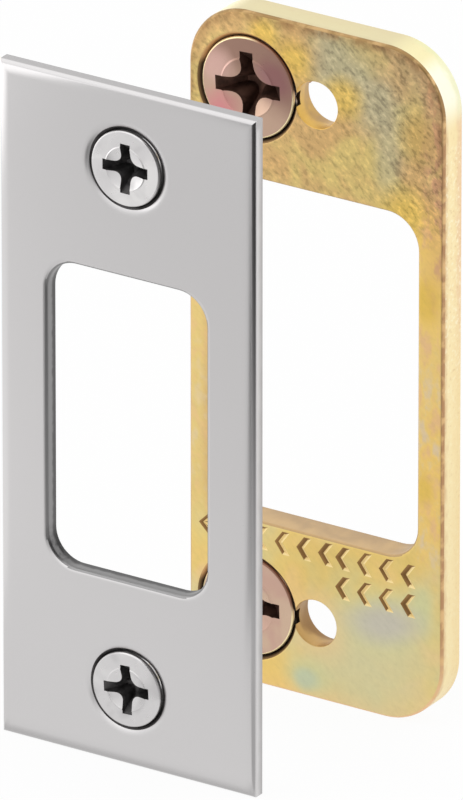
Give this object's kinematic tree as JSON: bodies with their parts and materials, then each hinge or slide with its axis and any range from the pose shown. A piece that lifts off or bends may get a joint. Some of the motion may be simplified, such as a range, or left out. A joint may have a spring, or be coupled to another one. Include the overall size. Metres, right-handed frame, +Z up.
{
  "type": "door strike plate",
  "caption": "Deadbolt strike drawn apart: a satin cover plate with a bolt window in front of a thicker round-cornered yellow-zinc reinforcement plate, with flat-head screws.",
  "frame": {"origin": "midway between the two cover-screw holes of the reinforcement plate, on its back face, which lies against the jamb", "axes": "+Z up along the plates' length, +Y into the jamb, fronts facing -Y, +X to the right seen from the front"},
  "size_m": [0.0356, 0.0385, 0.0698],
  "materials": {
    "satin_nickel": "satin nickel-plated steel",
    "bright_nickel": "bright nickel-plated steel",
    "yellow_zinc": "yellow zinc-plated steel",
    "pink_zinc": "yellow zinc-plated steel with a pink cast"
  },
  "bodies": {
    "root": {"cover_plate": "satin_nickel", "cover_screws": "bright_nickel", "reinforcement_plate": "yellow_zinc", "reinforcement_screws": "pink_zinc"}
  },
  "joints": []
}
